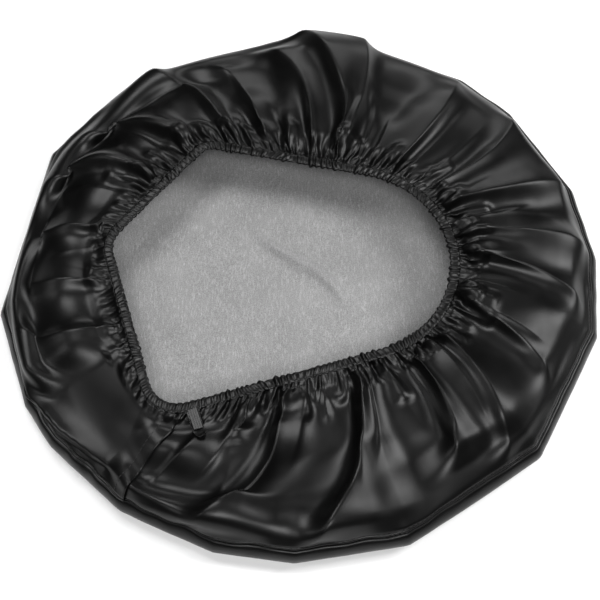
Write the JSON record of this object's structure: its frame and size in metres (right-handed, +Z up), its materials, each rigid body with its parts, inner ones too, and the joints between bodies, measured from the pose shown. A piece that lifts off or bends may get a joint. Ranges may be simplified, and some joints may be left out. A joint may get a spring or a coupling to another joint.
{
  "type": "spare tire cover",
  "caption": "Soft round cover for a spare tyre: vinyl face panel, side band and an elastic-gathered mouth at the back.",
  "frame": {"origin": "centre of the face panel's outer side, which lies on the ground", "axes": "+Z up, out of the mouth, along the tyre's axle when fitted; -Z out of the face panel; -Y towards the overlap where the band's ends are joined, which is at 235 degrees from +X"},
  "size_m": [0.716, 0.716, 0.0809],
  "materials": {
    "black_vinyl": "satin",
    "grey_backing": "brushed knit",
    "black_thread": "twisted",
    "dark_elastic": "ribbed braid"
  },
  "bodies": {
    "cover": {"face_panel": "black_vinyl", "face_lining": "grey_backing", "band_panel": "black_vinyl", "band_lining": "grey_backing", "band_lap": "black_vinyl", "seam_thread": "black_thread", "seam_topstitch": "black_thread", "lap_stitch": "black_thread"},
    "hem": {"hem_casing": "black_vinyl", "hem_stitch": "black_thread", "elastic_band": "dark_elastic", "elastic_bartack": "black_thread"},
    "tail": {"elastic_tail": "dark_elastic", "casing_flap": "black_vinyl"}
  },
  "joints": [
    {"name": "hem_lift", "type": "slide", "parent": "cover", "child": "hem", "axis": [0, 0, 1], "range_m": [0, 0.085]},
    {"name": "tail_flip", "type": "hinge", "parent": "hem", "child": "tail", "pos_m": [-0.11623, -0.20332, 0.0684], "axis": [-0.9397, -0.342, 0], "range_deg": [0, 110]}
  ]
}
